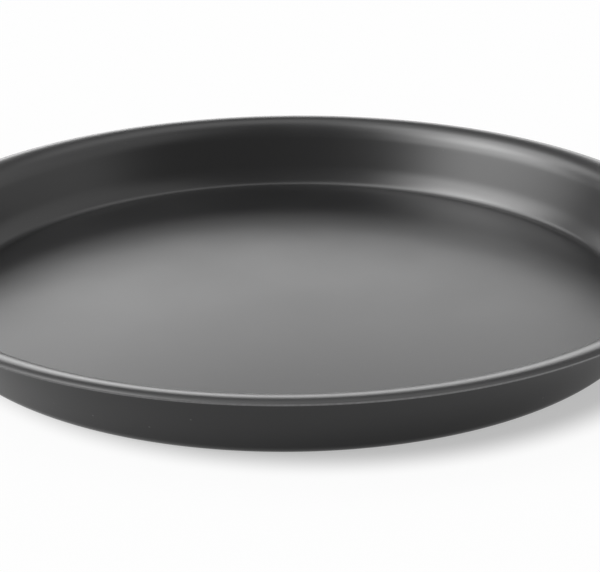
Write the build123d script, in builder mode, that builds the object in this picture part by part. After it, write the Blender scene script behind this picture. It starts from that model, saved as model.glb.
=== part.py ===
# Round pizza pan: one sheet of steel pressed into a shallow dish, with a baked coating on each face.
# Millimetres, +Z up, origin at the middle of the underside, which is the face that the pan rests on.
from build123d import *
from math import cos, radians, sin
import os

os.makedirs("parts", exist_ok=True)

# Sizes of the finished pan, with the radius of each bend taken on the cooking face
lip_diameter = 280.0
pan_height = 25.7
corner_radius = 4.0
flare_radius = 11.0
roll_radius = 6.0

# Slope of the wall above the floor, and how far the lip rolls down past its crest, in degrees
wall_slope = 69.5
roll_turn = 24.5

# The three layers, from the cooking face down to the underside
inner_coat_thickness = 0.1
sheet_thickness = 0.7
outer_coat_thickness = 0.1

# Depth of each layer's lower face below the cooking face
inner_coat_depth = inner_coat_thickness
sheet_depth = inner_coat_depth + sheet_thickness
full_depth = sheet_depth + outer_coat_thickness

# The lip flares out of the wall up to its crest, then rolls down to the trimmed edge, its widest point
crest_radius = lip_diameter / 2 - roll_radius * sin(radians(roll_turn))

# From the centre of the corner bend to the centre of the flare, which bends the other way
bend_rise = pan_height - flare_radius - full_depth - corner_radius
both_radii = corner_radius + flare_radius
bend_reach = (both_radii + bend_rise * cos(radians(wall_slope))) / sin(radians(wall_slope))

# Straight part of the wall between the two bends, and the flat floor inside the corner
wall_length = bend_reach * cos(radians(wall_slope)) + bend_rise * sin(radians(wall_slope))
floor_radius = crest_radius - bend_reach


# Draws one face of a layer, from the axis out to the trimmed edge, and returns its two ends
def layer_face(depth):
    floor = Line((0, full_depth - depth), (floor_radius, full_depth - depth))
    corner = JernArc(floor @ 1, floor % 1, corner_radius + depth, wall_slope)
    wall = Line(corner @ 1, corner @ 1 + (corner % 1) * wall_length)
    flare = JernArc(wall @ 1, wall % 1, flare_radius - depth, -wall_slope)
    roll = JernArc(flare @ 1, flare % 1, roll_radius - depth, -roll_turn)
    return floor @ 0, roll @ 1


# Draws the closed section of a layer between two depths, from the axis to the trimmed edge
def layer_section(upper_depth, lower_depth):
    upper_middle, upper_edge = layer_face(upper_depth)
    lower_middle, lower_edge = layer_face(lower_depth)
    Line(upper_middle, lower_middle)
    Line(upper_edge, lower_edge)


# The steel sheet: floor, leaning wall, flared and rolled lip, bare trimmed edge
with BuildPart() as pressed_pan:
    with BuildSketch(Plane.XZ):
        with BuildLine():
            layer_section(inner_coat_depth, sheet_depth)
        make_face()
    revolve(axis=Axis.Z)

pressed_pan.part.label = "pressed_pan"
export_step(pressed_pan.part, "parts/pressed_pan.step")

# The film on the cooking side, over the lip as far as the trimmed edge
with BuildPart() as inner_nonstick_coating:
    with BuildSketch(Plane.XZ):
        with BuildLine():
            layer_section(0, inner_coat_depth)
        make_face()
    revolve(axis=Axis.Z)

inner_nonstick_coating.part.label = "inner_nonstick_coating"
export_step(inner_nonstick_coating.part, "parts/inner_nonstick_coating.step")

# The film on the outside, which the pan stands on
with BuildPart() as outer_coating:
    with BuildSketch(Plane.XZ):
        with BuildLine():
            layer_section(sheet_depth, full_depth)
        make_face()
    revolve(axis=Axis.Z)

outer_coating.part.label = "outer_coating"
export_step(outer_coating.part, "parts/outer_coating.step")
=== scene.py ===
import math
import bpy
from mathutils import Matrix, Vector


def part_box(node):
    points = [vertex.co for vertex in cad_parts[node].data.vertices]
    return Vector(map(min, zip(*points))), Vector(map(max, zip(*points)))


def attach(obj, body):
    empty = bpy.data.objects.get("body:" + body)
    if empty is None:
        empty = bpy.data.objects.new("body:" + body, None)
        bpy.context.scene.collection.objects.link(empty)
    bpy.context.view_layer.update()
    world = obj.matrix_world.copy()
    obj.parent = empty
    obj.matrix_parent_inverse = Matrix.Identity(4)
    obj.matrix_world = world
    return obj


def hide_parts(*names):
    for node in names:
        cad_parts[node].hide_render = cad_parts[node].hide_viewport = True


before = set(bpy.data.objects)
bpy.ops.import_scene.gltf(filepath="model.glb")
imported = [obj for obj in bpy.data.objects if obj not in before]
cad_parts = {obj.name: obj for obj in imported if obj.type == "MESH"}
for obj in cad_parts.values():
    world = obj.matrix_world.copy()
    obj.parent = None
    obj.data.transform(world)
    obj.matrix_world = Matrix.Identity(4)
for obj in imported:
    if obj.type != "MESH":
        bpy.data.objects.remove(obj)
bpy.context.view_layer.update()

print("frame loaded:", ", ".join(sorted(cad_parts)))

mm = 0.001

# Overall sizes as packed: the film on the cooking side is the widest and highest layer
filmLow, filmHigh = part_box("inner_nonstick_coating")
sheetLow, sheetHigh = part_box("pressed_pan")
outsideLow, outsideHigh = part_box("outer_coating")
lipRadius = filmHigh.x
panHeight = filmHigh.z
filmDepth = panHeight - sheetHigh.z
sheetDepth = panHeight - outsideHigh.z
fullDepth = sheetDepth + sheetLow.z - outsideLow.z

# One pressed section, which every layer follows at its own depth below the cooking face
panSection = {
    "cornerBend": 4.0 * mm,      # floor to wall
    "fillBend": 4.5 * mm,        # the same on the cooking face, where the film fills the corner: tight
    "fillTurn": 50.0,            # up to this slope in degrees, then easy up to the wall's slope
    "easyBend": 20.0 * mm,
    "flareBend": 11.0 * mm,      # wall to crest of the lip
    "rollBend": 6.0 * mm,        # crest to trimmed edge
    "wallSlope": 69.5,           # degrees above the floor
    "rollTurn": 24.5,            # degrees past the crest
    "degreesPerRing": 3.0,       # in the bends
    "floorRings": 26,
    "wallRings": 8,
    "stepsRound": 360,
}


# The rings of one bend between two slopes, without the first. A bend the other way is negative
def bendRings(middleX, middleZ, bend, first, last):
    count = round(math.degrees(abs(last - first)) / panSection["degreesPerRing"])
    slopes = [first + (last - first) * i / count for i in range(1, count + 1)]
    return [(middleX + bend * math.sin(a), middleZ - bend * math.cos(a)) for a in slopes]


# The corner of the cooking face. It ends on the same line of the wall as a plain corner bend
def filledCorner(floorRadius, slope):
    corner = panSection["cornerBend"]
    tight = panSection["fillBend"]
    easy = panSection["easyBend"]
    change = math.radians(panSection["fillTurn"])
    width = tight * math.sin(change) + easy * (math.sin(slope) - math.sin(change))
    height = tight * (1 - math.cos(change)) + easy * (math.cos(change) - math.cos(slope))
    plainTop = corner * (1 - math.cos(slope))
    start = floorRadius + corner * math.sin(slope) + (height - plainTop) / math.tan(slope) - width
    rings = bendRings(start, fullDepth + tight, tight, 0, change)
    x, z = rings[-1]
    rings += bendRings(x - easy * math.sin(change), z + easy * math.cos(change), easy, change, slope)
    return start, rings


# (radius, height) of each ring of one face of a layer, from the axis out to the trimmed edge
def faceRings(depth):
    corner = panSection["cornerBend"]
    flare = panSection["flareBend"]
    roll = panSection["rollBend"]
    slope = math.radians(panSection["wallSlope"])
    turn = math.radians(panSection["rollTurn"])
    crest = lipRadius - roll * math.sin(turn)
    rise = panHeight - flare - fullDepth - corner
    reach = (corner + flare + rise * math.cos(slope)) / math.sin(slope)
    floorRadius = crest - reach
    if depth == 0:
        floorRadius, cornerRings = filledCorner(floorRadius, slope)
    else:
        cornerRings = bendRings(floorRadius, fullDepth + corner, corner + depth, 0, slope)

    rings = []
    for i in range(panSection["floorRings"] + 1):
        rings.append((floorRadius * i / panSection["floorRings"], fullDepth - depth))
    rings += cornerRings
    wallFoot = rings[-1]
    bend = flare - depth
    wallTop = (crest - bend * math.sin(slope), panHeight - flare + bend * math.cos(slope))
    for i in range(1, panSection["wallRings"] + 1):
        t = i / panSection["wallRings"]
        rings.append(tuple(foot + (top - foot) * t for foot, top in zip(wallFoot, wallTop)))
    rings += bendRings(crest, panHeight - flare, -bend, slope, 0)
    rings += bendRings(crest, panHeight - roll, depth - roll, 0, -turn)
    return rings


# Spins the closed section between two depths round the axis
def spinLayer(name, upperDepth, lowerDepth):
    outline = faceRings(upperDepth) + faceRings(lowerDepth)[::-1]
    steps = panSection["stepsRound"]
    points = []
    rows = []
    for radius, height in outline:
        if radius < 1e-9:
            rows.append([len(points)])
            points.append((0, 0, height))
            continue
        rows.append(list(range(len(points), len(points) + steps)))
        for k in range(steps):
            a = math.tau * k / steps
            points.append((radius * math.cos(a), radius * math.sin(a), height))
    faces = []
    for inner, outer in zip(rows, rows[1:]):
        for k in range(steps):
            after = (k + 1) % steps
            if len(inner) == 1:
                faces.append((inner[0], outer[k], outer[after]))
            elif len(outer) == 1:
                faces.append((inner[k], outer[0], inner[after]))
            else:
                faces.append((inner[k], outer[k], outer[after], inner[after]))
    mesh = bpy.data.meshes.new(name)
    mesh.from_pydata(points, [], faces)
    mesh.polygons.foreach_set("use_smooth", [True] * len(faces))
    mesh.set_sharp_from_angle(angle=math.radians(35))
    mesh.validate()
    layer = bpy.data.objects.new(name, mesh)
    bpy.context.scene.collection.objects.link(layer)
    return layer


# A node tree's small helpers: a new node with its settings, and a link by socket names
def addNode(tree, kind, settings=None):
    node = tree.nodes.new(kind)
    for key, value in (settings or {}).items():
        if key in node.inputs:
            node.inputs[key].default_value = value
        else:
            setattr(node, key, value)
    return node


def newMaterial(name):
    material = bpy.data.materials.new(name)
    material.use_nodes = True
    tree = material.node_tree
    tree.nodes.clear()
    shader = addNode(tree, "ShaderNodeBsdfPrincipled")
    output = addNode(tree, "ShaderNodeOutputMaterial")
    tree.links.new(shader.outputs["BSDF"], output.inputs["Surface"])
    return material, tree, shader


def noiseFrom(tree, place, scale, detail, roughness=0.5):
    noise = addNode(tree, "ShaderNodeTexNoise", {
        "Scale": scale, "Detail": detail, "Roughness": roughness})
    tree.links.new(place.outputs["Object"], noise.inputs["Vector"])
    return noise


def spread(tree, source, low, high, toLow, toHigh):
    mapped = addNode(tree, "ShaderNodeMapRange", {
        "From Min": low, "From Max": high, "To Min": toLow, "To Max": toHigh})
    tree.links.new(source, mapped.inputs["Value"])
    return mapped.outputs["Result"]


def timesEachOther(tree, first, second):
    product = addNode(tree, "ShaderNodeMath", {"operation": "MULTIPLY"})
    tree.links.new(first, product.inputs[0])
    tree.links.new(second, product.inputs[1])
    return product.outputs["Value"]


# Baked film: near-black and satin, with a fine sprayed skin, slow changes in gloss, a few pale
# specks in the spray, and scuffs where the pan stands on the oven rack
innerFilm = {
    "dark": (0.0105, 0.0105, 0.0112, 1),
    "light": (0.0150, 0.0150, 0.0156, 1),
    "ior": 2.0,
    "roughLow": 0.28,
    "roughHigh": 0.32,
    "skinScale": 1500.0,         # waves per metre of the sprayed skin
    "skinDepth": 0.004 * mm,
    "slowScale": 26.0,
    "speckCells": 250.0,         # cells per metre, of which the share below holds a speck
    "speckRadius": 0.33 * mm,
    "speckShare": 0.07,
    "speckColor": (0.055, 0.055, 0.055, 1),
    "scuffRing": None,
}
outerFilm = {
    "dark": (0.0115, 0.0115, 0.0122, 1),
    "light": (0.0165, 0.0165, 0.0172, 1),
    "ior": 1.40,
    "roughLow": 0.28,
    "roughHigh": 0.33,
    "skinScale": 1300.0,
    "skinDepth": 0.005 * mm,
    "slowScale": 22.0,
    "speckCells": 250.0,
    "speckRadius": 0.36 * mm,
    "speckShare": 0.16,
    "speckColor": (0.075, 0.075, 0.075, 1),
    "scuffRing": {
        "radius": 114.0 * mm,
        "halfWidth": 5.0 * mm,
        "top": 0.8 * mm,         # height over the table at which it has faded out
        "scale": 420.0,
        "wornFrom": 0.52,        # of the noise, where a streak starts, and where it is full
        "wornFull": 0.66,
        "color": (0.085, 0.083, 0.080, 1),
        "duller": 0.2,
    },
}


def mixColors(tree, share, first, second):
    mixed = addNode(tree, "ShaderNodeMix", {"data_type": "RGBA"})
    tree.links.new(share, mixed.inputs["Factor"])
    for socket, color in (("A", first), ("B", second)):
        if isinstance(color, tuple):
            mixed.inputs[socket].default_value = color
        else:
            tree.links.new(color, mixed.inputs[socket])
    return mixed.outputs["Result"]


# 1 in the few cells of the spray that hold a speck, and only near the middle of the cell
def speckMask(tree, place, film):
    cells = addNode(tree, "ShaderNodeTexVoronoi", {"Scale": film["speckCells"]})
    tree.links.new(place.outputs["Object"], cells.inputs["Vector"])
    reach = film["speckRadius"] * film["speckCells"]
    spot = spread(tree, cells.outputs["Distance"], reach * 0.5, reach, 1.0, 0.0)
    pick = addNode(tree, "ShaderNodeSeparateColor")
    tree.links.new(cells.outputs["Color"], pick.inputs["Color"])
    chosen = addNode(tree, "ShaderNodeMath", {"operation": "LESS_THAN"})
    tree.links.new(pick.outputs["Red"], chosen.inputs[0])
    chosen.inputs[1].default_value = film["speckShare"]
    return timesEachOther(tree, spot, chosen.outputs["Value"])


# Distance from the axis of the pan
def radiusOf(tree, point):
    level = addNode(tree, "ShaderNodeVectorMath", {"operation": "MULTIPLY"})
    level.inputs[1].default_value = (1, 1, 0)
    tree.links.new(point, level.inputs[0])
    away = addNode(tree, "ShaderNodeVectorMath", {"operation": "LENGTH"})
    tree.links.new(level.outputs["Vector"], away.inputs[0])
    return away.outputs["Value"]


# Worn streaks round the underside, in a ring just inside the corner bend
def scuffMask(tree, place, ring):
    axes = addNode(tree, "ShaderNodeSeparateXYZ")
    tree.links.new(place.outputs["Object"], axes.inputs["Vector"])
    gap = addNode(tree, "ShaderNodeMath", {"operation": "SUBTRACT"})
    tree.links.new(radiusOf(tree, place.outputs["Object"]), gap.inputs[0])
    gap.inputs[1].default_value = ring["radius"]
    apart = addNode(tree, "ShaderNodeMath", {"operation": "ABSOLUTE"})
    tree.links.new(gap.outputs["Value"], apart.inputs[0])
    band = spread(tree, apart.outputs["Value"], 0.0, ring["halfWidth"], 1.0, 0.0)
    under = spread(tree, axes.outputs["Z"], ring["top"] * 0.5, ring["top"], 1.0, 0.0)
    streaks = noiseFrom(tree, place, ring["scale"], 5.0, 0.7)
    worn = spread(tree, streaks.outputs["Fac"], ring["wornFrom"], ring["wornFull"], 0.0, 1.0)
    return timesEachOther(tree, timesEachOther(tree, band, under), worn)


def filmMaterial(name, film):
    material, tree, shader = newMaterial(name)
    place = addNode(tree, "ShaderNodeTexCoord")
    slow = noiseFrom(tree, place, film["slowScale"], 3.0)
    skin = noiseFrom(tree, place, film["skinScale"], 2.0)
    color = mixColors(tree, slow.outputs["Fac"], film["dark"], film["light"])
    color = mixColors(tree, speckMask(tree, place, film), color, film["speckColor"])
    gloss = spread(tree, slow.outputs["Fac"], 0.3, 0.7, film["roughLow"], film["roughHigh"])
    if film["scuffRing"]:
        worn = scuffMask(tree, place, film["scuffRing"])
        color = mixColors(tree, worn, color, film["scuffRing"]["color"])
        rubbed = addNode(tree, "ShaderNodeMath", {"operation": "MULTIPLY_ADD"})
        tree.links.new(worn, rubbed.inputs[0])
        rubbed.inputs[1].default_value = film["scuffRing"]["duller"]
        tree.links.new(gloss, rubbed.inputs[2])
        gloss = rubbed.outputs["Value"]
    tree.links.new(color, shader.inputs["Base Color"])
    tree.links.new(gloss, shader.inputs["Roughness"])
    bump = addNode(tree, "ShaderNodeBump", {"Strength": 1.0, "Distance": film["skinDepth"]})
    tree.links.new(skin.outputs["Fac"], bump.inputs["Height"])
    tree.links.new(bump.outputs["Normal"], shader.inputs["Normal"])
    shader.inputs["IOR"].default_value = film["ior"]
    return material


# Steel where the shears cut it: drawn along the cut, and browned by the oven
bareEdge = {
    "bright": (0.20, 0.20, 0.205, 1),
    "dull": (0.10, 0.098, 0.096, 1),
    "roughness": 0.42,
    "grainScale": 900.0,
    "grainDepth": 0.01 * mm,
}


def edgeMaterial(name, edge):
    material, tree, shader = newMaterial(name)
    place = addNode(tree, "ShaderNodeTexCoord")
    grain = noiseFrom(tree, place, edge["grainScale"], 4.0)
    tint = mixColors(tree, grain.outputs["Fac"], edge["dull"], edge["bright"])
    tree.links.new(tint, shader.inputs["Base Color"])
    bump = addNode(tree, "ShaderNodeBump", {"Strength": 1.0, "Distance": edge["grainDepth"]})
    tree.links.new(grain.outputs["Fac"], bump.inputs["Height"])
    tree.links.new(bump.outputs["Normal"], shader.inputs["Normal"])
    shader.inputs["Metallic"].default_value = 1.0
    shader.inputs["Roughness"].default_value = edge["roughness"]
    return material


cookingFilm = spinLayer("cookingFilm", 0, filmDepth)
cookingFilm.data.materials.append(filmMaterial("satinFilmInside", innerFilm))
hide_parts("inner_nonstick_coating")
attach(cookingFilm, "root")

steelSheet = spinLayer("steelSheet", filmDepth, sheetDepth)
steelSheet.data.materials.append(edgeMaterial("trimmedSteel", bareEdge))
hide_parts("pressed_pan")
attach(steelSheet, "root")

outsideFilm = spinLayer("outsideFilm", sheetDepth, fullDepth)
outsideFilm.data.materials.append(filmMaterial("satinFilmOutside", outerFilm))
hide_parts("outer_coating")
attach(outsideFilm, "root")
print("three layers spun, lip", round(2 * lipRadius / mm, 1), "mm across")

# Table: a wide pale sheet just under the pan. The veil is painted white light: the share of it that
# the camera and shiny surfaces see as glowing plain white, low beside the pan, where its shadow lies,
# and nearly all further out, where it paints the shadow away
table = {
    "halfWidth": 3.0,
    "gap": 0.03 * mm,
    "color": (0.88, 0.88, 0.88, 1),
    "roughness": 0.9,
    "sheen": 0.2,
    "veilNear": 0.45,
    "veilFar": 0.96,
    # Middle of the painted white, off the axis, so that the shadow it leaves shows further out on the
    # +X side
    "veilMiddle": (10.0 * mm, 0, 0),
    "veilFrom": 119.0 * mm,      # distance from its middle at which it starts to rise, and is full
    "veilFull": 134.5 * mm,
    "grainScale": 300.0,
    "grainDepth": 0.02 * mm,
}


# 1 for rays from the camera and for rays that come off shiny or clear surfaces
def seenDirectly(tree, withCamera=True):
    path = addNode(tree, "ShaderNodeLightPath")
    shiny = addNode(tree, "ShaderNodeMath", {"operation": "MAXIMUM"})
    tree.links.new(path.outputs["Is Glossy Ray"], shiny.inputs[0])
    tree.links.new(path.outputs["Is Transmission Ray"], shiny.inputs[1])
    if not withCamera:
        return shiny.outputs["Value"]
    seen = addNode(tree, "ShaderNodeMath", {"operation": "MAXIMUM"})
    tree.links.new(path.outputs["Is Camera Ray"], seen.inputs[0])
    tree.links.new(shiny.outputs["Value"], seen.inputs[1])
    return seen.outputs["Value"]


def layTable(values):
    w = values["halfWidth"]
    z = -values["gap"]
    mesh = bpy.data.meshes.new("table")
    mesh.from_pydata([(-w, -w, z), (w, -w, z), (w, w, z), (-w, w, z)], [], [(0, 1, 2, 3)])
    plane = bpy.data.objects.new("table", mesh)
    bpy.context.scene.collection.objects.link(plane)
    material, tree, shader = newMaterial("paleTable")
    place = addNode(tree, "ShaderNodeTexCoord")
    grain = noiseFrom(tree, place, values["grainScale"], 3.0)
    bump = addNode(tree, "ShaderNodeBump", {"Strength": 1.0, "Distance": values["grainDepth"]})
    tree.links.new(grain.outputs["Fac"], bump.inputs["Height"])
    tree.links.new(bump.outputs["Normal"], shader.inputs["Normal"])
    shader.inputs["Base Color"].default_value = values["color"]
    shader.inputs["Roughness"].default_value = values["roughness"]
    shader.inputs["Specular IOR Level"].default_value = values["sheen"]
    # Painted white glow, mixed in by the veil's share
    white = addNode(tree, "ShaderNodeEmission", {"Color": (1, 1, 1, 1), "Strength": 1.0})
    veil = addNode(tree, "ShaderNodeMapRange", {
        "interpolation_type": "SMOOTHSTEP",
        "From Min": values["veilFrom"], "From Max": values["veilFull"],
        "To Min": values["veilNear"], "To Max": values["veilFar"]})
    aside = addNode(tree, "ShaderNodeVectorMath", {"operation": "SUBTRACT"})
    tree.links.new(place.outputs["Object"], aside.inputs[0])
    aside.inputs[1].default_value = values["veilMiddle"]
    tree.links.new(radiusOf(tree, aside.outputs["Vector"]), veil.inputs["Value"])
    veiled = addNode(tree, "ShaderNodeMixShader")
    share = timesEachOther(tree, seenDirectly(tree), veil.outputs["Result"])
    tree.links.new(share, veiled.inputs["Fac"])
    tree.links.new(shader.outputs["BSDF"], veiled.inputs[1])
    tree.links.new(white.outputs["Emission"], veiled.inputs[2])
    side = addNode(tree, "ShaderNodeNewGeometry")
    clear = addNode(tree, "ShaderNodeBsdfTransparent")
    oneSided = addNode(tree, "ShaderNodeMixShader")      # clear from below, to show the underside
    tree.links.new(side.outputs["Backfacing"], oneSided.inputs["Fac"])
    tree.links.new(veiled.outputs["Shader"], oneSided.inputs[1])
    tree.links.new(clear.outputs["BSDF"], oneSided.inputs[2])
    tree.links.new(oneSided.outputs["Shader"], tree.nodes["Material Output"].inputs["Surface"])
    plane.data.materials.append(material)
    return plane


layTable(table)
print("table laid")

# Studio: soft light boxes round the table, each a smooth patch of sky. All are in degrees but the
# strength, and the azimuth runs clockwise from straight behind the pan, as seen from above
studio = {
    "ambient": 0.14,
    "backdropTop": (12.0, 18.0),     # where it starts to fade upward, and where it is gone
    "backdropSide": (0.6, 0.9),      # how far behind it starts and is full, 1 being straight behind
    # middle azimuth, half width, soft margin, lower edge, upper edge, soft margin, strength
    "boxes": {
        "backLow": (0, 2, 28, 12, 15, 7, 3.1),
        "backLeftLow": (-30, 2, 28, 12, 15, 7, 1.5),
        "backMid": (0, 2, 28, 21, 24, 7, 0.9),
        "backLeftMid": (-30, 2, 28, 21, 24, 7, 0.75),
        "backOver": (5, 30, 30, 58, 72, 12, 0.57),
        "leftLow": (-100, 2, 38, 8, 18, 10, 1.1),
        "leftMid": (-100, 2, 38, 26, 34, 12, 2.1),
        "leftTall": (-105, 12, 28, 34, 48, 9, 1.45),
        "keyLow": (-95, 6, 22, 48, 56, 8, 3.8),
        "key": (-95, 6, 22, 60, 66, 8, 2.3),
        "leftBack": (-60, 2, 32, 44, 54, 12, 1.9),
        "leftBackTop": (-60, 2, 32, 64, 72, 12, 2.7),
        "leftFront": (-135, 2, 32, 22, 34, 12, 0.08),
        "rightLow": (75, 30, 25, -5, 12, 10, 0.23),
        "rightMid": (75, 30, 25, 22, 36, 12, 0.35),
        "rightHigh": (85, 35, 25, 48, 66, 14, 0.3),
    },
}


def smoothStep(tree, source, fromZero, toOne):
    step = addNode(tree, "ShaderNodeMapRange", {
        "interpolation_type": "SMOOTHSTEP", "From Min": fromZero, "From Max": toOne})
    tree.links.new(source, step.inputs["Value"])
    return step.outputs["Result"]


# 1 inside the box as seen from the pan, 0 outside it, and smooth between
def boxMask(tree, flat, height, box):
    azimuth, halfWidth, fadeWidth, low, high, fadeHeight = (math.radians(v) for v in box[:6])
    toward = addNode(tree, "ShaderNodeVectorMath", {"operation": "DOT_PRODUCT"})
    toward.inputs[1].default_value = (math.sin(azimuth), math.cos(azimuth), 0)
    tree.links.new(flat, toward.inputs[0])
    outer, inner = math.cos(halfWidth + fadeWidth), math.cos(halfWidth)
    across = smoothStep(tree, toward.outputs["Value"], outer, inner)
    under = smoothStep(tree, height, math.sin(low - fadeHeight), math.sin(low))
    over = smoothStep(tree, height, math.sin(high + fadeHeight), math.sin(high))
    return timesEachOther(tree, timesEachOther(tree, under, across), over)


def buildStudio(values):
    world = bpy.data.worlds.new("studio")
    bpy.context.scene.world = world
    world.use_nodes = True
    tree = world.node_tree
    tree.nodes.clear()
    place = addNode(tree, "ShaderNodeTexCoord")
    axes = addNode(tree, "ShaderNodeSeparateXYZ")
    tree.links.new(place.outputs["Generated"], axes.inputs["Vector"])
    level = addNode(tree, "ShaderNodeVectorMath", {"operation": "MULTIPLY"})
    level.inputs[1].default_value = (1, 1, 0)
    tree.links.new(place.outputs["Generated"], level.inputs[0])
    flat = addNode(tree, "ShaderNodeVectorMath", {"operation": "NORMALIZE"})
    tree.links.new(level.outputs["Vector"], flat.inputs[0])

    ambient = addNode(tree, "ShaderNodeValue", {"name": "ambient"})
    ambient.outputs["Value"].default_value = values["ambient"]
    light = ambient.outputs["Value"]
    for name, box in values["boxes"].items():
        mask = boxMask(tree, flat.outputs["Vector"], axes.outputs["Z"], box)
        added = addNode(tree, "ShaderNodeMath", {"operation": "MULTIPLY_ADD", "name": name})
        tree.links.new(mask, added.inputs[0])
        added.inputs[1].default_value = box[6]
        tree.links.new(light, added.inputs[2])
        light = added.outputs["Value"]

    # Shiny surfaces see the backdrop at no less than white, and the camera sees white all round
    foot, top = (math.sin(math.radians(e)) for e in values["backdropTop"])
    behind = smoothStep(tree, axes.outputs["Y"], *values["backdropSide"])
    backdrop = timesEachOther(tree, behind, smoothStep(tree, axes.outputs["Z"], top, foot))
    shown = timesEachOther(tree, backdrop, seenDirectly(tree, withCamera=False))
    atLeast = addNode(tree, "ShaderNodeMath", {"operation": "MAXIMUM", "name": "backdrop"})
    tree.links.new(light, atLeast.inputs[0])
    tree.links.new(shown, atLeast.inputs[1])
    path = addNode(tree, "ShaderNodeLightPath")
    strength = addNode(tree, "ShaderNodeMix", {"data_type": "FLOAT"})
    tree.links.new(path.outputs["Is Camera Ray"], strength.inputs["Factor"])
    tree.links.new(atLeast.outputs["Value"], strength.inputs["A"])
    strength.inputs["B"].default_value = 1.0
    lit = addNode(tree, "ShaderNodeBackground", {"Color": (1, 1, 1, 1)})
    tree.links.new(strength.outputs["Result"], lit.inputs["Strength"])
    output = addNode(tree, "ShaderNodeOutputWorld")
    tree.links.new(lit.outputs["Background"], output.inputs["Surface"])


buildStudio(studio)
print("studio lit from", len(studio["boxes"]), "soft boxes")

# Camera: aims at the middle of the base, whose image lies at the named pixel of the 600 by 572 frame
camera = {
    "distance": 0.520,
    "elevation": 22.072,
    "roll": 0.0096,              # radians, clockwise
    "focalPixels": 1475.9,
    "axisPixel": (290.66, 290.73),
    "framePixels": (600, 572),
    "sensorWidth": 36.0,
}


def placeCamera(values):
    e = math.radians(values["elevation"])
    eye = bpy.data.cameras.new("eye")
    eye.sensor_fit = "HORIZONTAL"
    eye.sensor_width = values["sensorWidth"]
    eye.lens = values["focalPixels"] * values["sensorWidth"] / values["framePixels"][0]
    eye.shift_x = (values["framePixels"][0] / 2 - values["axisPixel"][0]) / values["framePixels"][0]
    eye.shift_y = (values["axisPixel"][1] - values["framePixels"][1] / 2) / values["framePixels"][0]
    eye.clip_start = 0.01
    eye.clip_end = 50.0
    holder = bpy.data.objects.new("eye", eye)
    place = Vector((0, -values["distance"] * math.cos(e), values["distance"] * math.sin(e)))
    aim = (-place).to_track_quat("-Z", "Y").to_matrix().to_4x4()
    holder.matrix_world = Matrix.Translation(place) @ aim @ Matrix.Rotation(-values["roll"], 4, "Z")
    bpy.context.scene.collection.objects.link(holder)
    bpy.context.scene.camera = holder


placeCamera(camera)
bpy.context.scene.view_settings.view_transform = "Standard"
print("camera placed")
